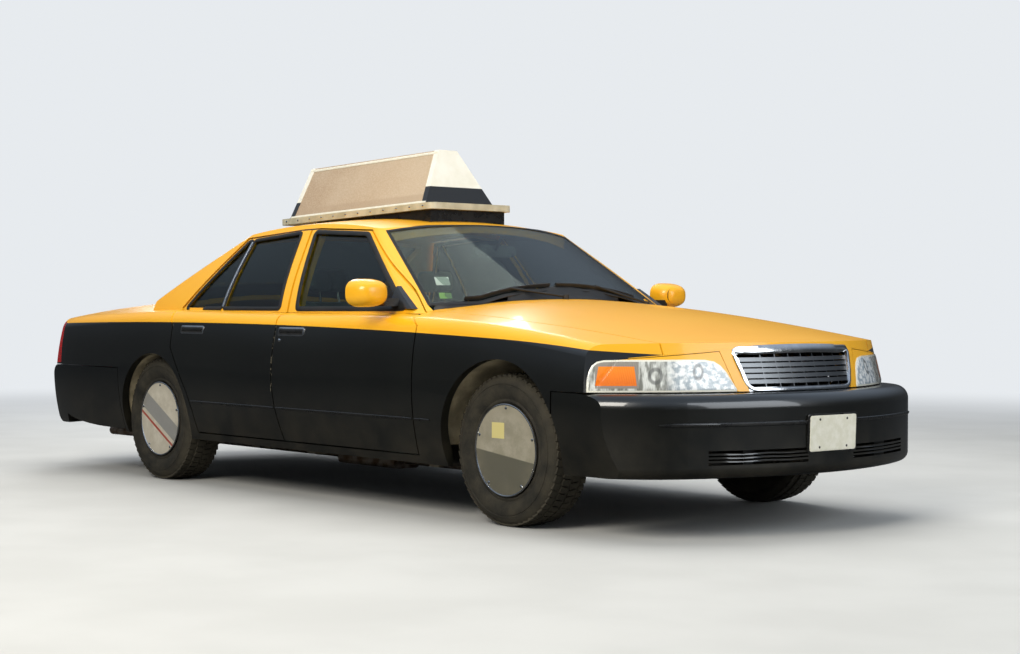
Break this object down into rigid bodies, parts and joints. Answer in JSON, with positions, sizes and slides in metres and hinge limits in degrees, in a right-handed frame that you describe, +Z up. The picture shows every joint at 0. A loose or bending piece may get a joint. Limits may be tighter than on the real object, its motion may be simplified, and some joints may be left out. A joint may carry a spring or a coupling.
{
  "type": "four-door taxi cab with a roof sign",
  "caption": "Full-size two-tone sedan taxi on a separate frame, with opening doors, hood and boot lid, steered front wheels and a wedge roof sign; blank plates and panels",
  "frame": {"origin": "on the ground, at the centre of the bounding box seen from above, under the middle of the cab", "axes": "+X forward along the car, +Y to the car's left, +Z up"},
  "size_m": [5.385, 2.22, 1.7997],
  "materials": {
    "paint_yellow": "glossy warm yellow coat",
    "paint_black": "glossy black coat",
    "paint_two_tone": "glossy black below the waistline and yellow above it",
    "chrome_trim": "bright plated trim",
    "lamp_clear": "clear ribbed lens over a bright reflector",
    "lamp_red": "red ribbed lens",
    "screen_glass": "lightly tinted glass",
    "tyre_rubber": "dusty black tread rubber",
    "wheel_cover": "flat painted disc over a steel rim",
    "chassis_paint": "dull black frame coat",
    "cast_metal": "rough cast and forged metal",
    "pipe_metal": "heat-stained pipe",
    "floor_metal": "dull sealed panel",
    "arch_lining": "dusty moulded lining",
    "dark_plastic": "grained dark moulding",
    "seat_cloth": "dark grey-green cloth",
    "sign_panel": "sandy sign faces with pale ends",
    "sign_tray": "cream moulded tray"
  },
  "bodies": {
    "root": {"floor_pan": "floor_metal", "bulkheads": "floor_metal", "cowl_panel": "dark_plastic", "deck_strip": "paint_yellow", "wheelhouses": "arch_lining", "chassis_rail_l": "chassis_paint", "chassis_rail_r": "chassis_paint", "cross_members": "chassis_paint", "engine_block": "cast_metal", "radiator": "chassis_paint", "rear_axle": "cast_metal", "exhaust": "pipe_metal", "fuel_tank": "chassis_paint", "front_suspension": "cast_metal", "bumper_front": "paint_black", "bumper_rear": "paint_black", "header_panel": "paint_yellow", "grille": "chrome_trim", "headlamps": "lamp_clear", "tail_lamps": "lamp_red", "fender_l": "paint_two_tone", "fender_r": "paint_two_tone", "quarter_panel_l": "paint_two_tone", "quarter_panel_r": "paint_two_tone", "roof_panel": "paint_yellow", "side_frame_l": "paint_two_tone", "side_frame_r": "paint_two_tone", "windscreen": "screen_glass", "backlight": "screen_glass", "dashboard": "dark_plastic", "front_seats": "seat_cloth", "seat_bases": "dark_plastic", "rear_seat": "seat_cloth", "roof_sign_tray": "sign_tray", "roof_sign": "sign_panel"},
    "steering_l": {"knuckle_l": "cast_metal"},
    "steering_r": {"knuckle_r": "cast_metal"},
    "front_wheel_l": {"tyre_front_l": "tyre_rubber", "wheel_front_l": "wheel_cover"},
    "front_wheel_r": {"tyre_front_r": "tyre_rubber", "wheel_front_r": "wheel_cover"},
    "rear_wheel_l": {"tyre_rear_l": "tyre_rubber", "wheel_rear_l": "wheel_cover"},
    "rear_wheel_r": {"tyre_rear_r": "tyre_rubber", "wheel_rear_r": "wheel_cover"},
    "front_door_l": {"door_front_l": "paint_two_tone", "door_glass_front_l": "screen_glass", "mirror_l": "paint_yellow"},
    "front_door_r": {"door_front_r": "paint_two_tone", "door_glass_front_r": "screen_glass", "mirror_r": "paint_yellow"},
    "rear_door_l": {"door_rear_l": "paint_two_tone", "door_glass_rear_l": "screen_glass"},
    "rear_door_r": {"door_rear_r": "paint_two_tone", "door_glass_rear_r": "screen_glass"},
    "hood_lid": {"hood": "paint_yellow"},
    "boot_lid": {"trunk_lid": "paint_yellow"},
    "handwheel": {"steering_wheel": "dark_plastic"}
  },
  "joints": [
    {"name": "steer_l", "type": "hinge", "parent": "root", "child": "steering_l", "pos_m": [1.602, 0.743, 0.338], "axis": [0, 0, 1], "range_deg": [-33, 33]},
    {"name": "steer_r", "type": "hinge", "parent": "root", "child": "steering_r", "pos_m": [1.602, -0.743, 0.338], "axis": [0, 0, 1], "range_deg": [-33, 33]},
    {"name": "spin_front_l", "type": "hinge", "parent": "steering_l", "child": "front_wheel_l", "pos_m": [1.602, 0.805, 0.338], "axis": [0, 1, 0], "continuous": true},
    {"name": "spin_front_r", "type": "hinge", "parent": "steering_r", "child": "front_wheel_r", "pos_m": [1.602, -0.805, 0.338], "axis": [0, 1, 0], "continuous": true},
    {"name": "spin_rear_l", "type": "hinge", "parent": "root", "child": "rear_wheel_l", "pos_m": [-1.311, 0.833, 0.338], "axis": [0, 1, 0], "continuous": true},
    {"name": "spin_rear_r", "type": "hinge", "parent": "root", "child": "rear_wheel_r", "pos_m": [-1.311, -0.833, 0.338], "axis": [0, 1, 0], "continuous": true},
    {"name": "door_front_l_hinge", "type": "hinge", "parent": "root", "child": "front_door_l", "pos_m": [0.936, 0.97, 0.6], "axis": [0, 0, -1], "range_deg": [0, 65]},
    {"name": "door_front_r_hinge", "type": "hinge", "parent": "root", "child": "front_door_r", "pos_m": [0.936, -0.97, 0.6], "axis": [0, 0, 1], "range_deg": [0, 65]},
    {"name": "door_rear_l_hinge", "type": "hinge", "parent": "root", "child": "rear_door_l", "pos_m": [-0.223, 0.97, 0.6], "axis": [0, 0, -1], "range_deg": [0, 65]},
    {"name": "door_rear_r_hinge", "type": "hinge", "parent": "root", "child": "rear_door_r", "pos_m": [-0.223, -0.97, 0.6], "axis": [0, 0, 1], "range_deg": [0, 65]},
    {"name": "hood_hinge", "type": "hinge", "parent": "root", "child": "hood_lid", "pos_m": [0.985, 0, 0.985], "axis": [0, -1, 0], "range_deg": [0, 55]},
    {"name": "boot_hinge", "type": "hinge", "parent": "root", "child": "boot_lid", "pos_m": [-1.59, 0, 1.032], "axis": [0, 1, 0], "range_deg": [0, 70]},
    {"name": "handwheel_turn", "type": "hinge", "parent": "root", "child": "handwheel", "pos_m": [0.57, 0.37, 0.88], "axis": [-0.9063, 0, 0.4226], "range_deg": [-495, 495]}
  ],
  "couplings": [
    {"joint": "steer_r", "follows": "steer_l", "ratio": 1},
    {"joint": "handwheel_turn", "follows": "steer_l", "ratio": 15}
  ]
}
